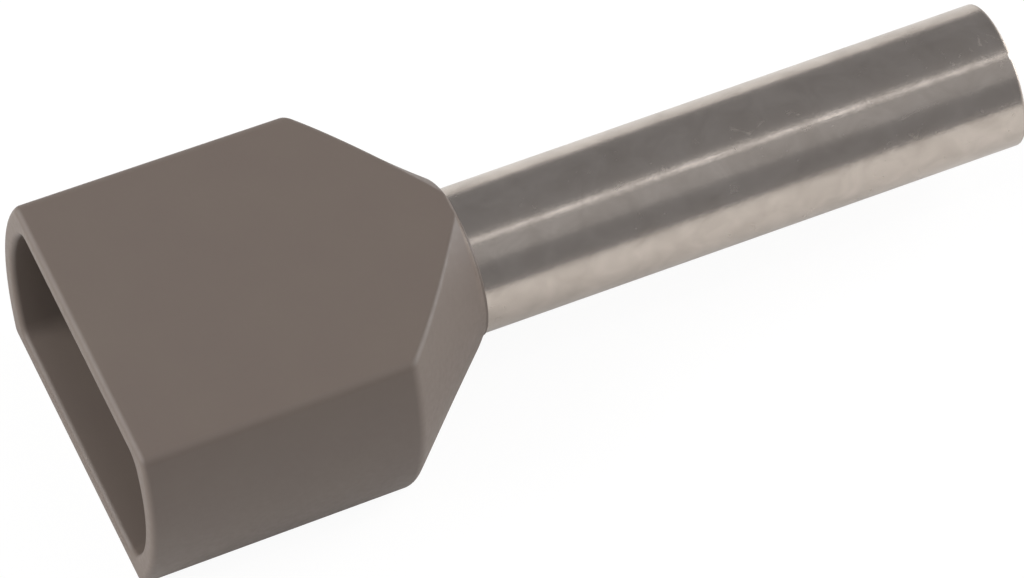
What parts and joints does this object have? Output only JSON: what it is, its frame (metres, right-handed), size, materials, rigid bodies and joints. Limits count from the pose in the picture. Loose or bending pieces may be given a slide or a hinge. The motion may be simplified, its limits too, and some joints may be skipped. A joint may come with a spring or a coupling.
{
  "type": "wire ferrule",
  "caption": "Twin-entry wire ferrule: insulated wires side by side enter a flat plastic collar and their bare ends meet in a plain tinned tube that is crimped.",
  "frame": {"origin": "on the sleeve's axis, in the plane of the collar's neck end where the bare sleeve starts", "axes": "+X along the sleeve away from the collar, Y across the wires, +Z through the flat of the collar, which lies on its wide face"},
  "size_m": [0.0219, 0.0084, 0.0048],
  "materials": {
    "collar_plastic": "warm grey moulded polypropylene, satin, softly rounded edges",
    "tinned_copper": null
  },
  "bodies": {
    "root": {"insulating_collar": "collar_plastic", "conductor_sleeve": "tinned_copper"}
  },
  "joints": []
}
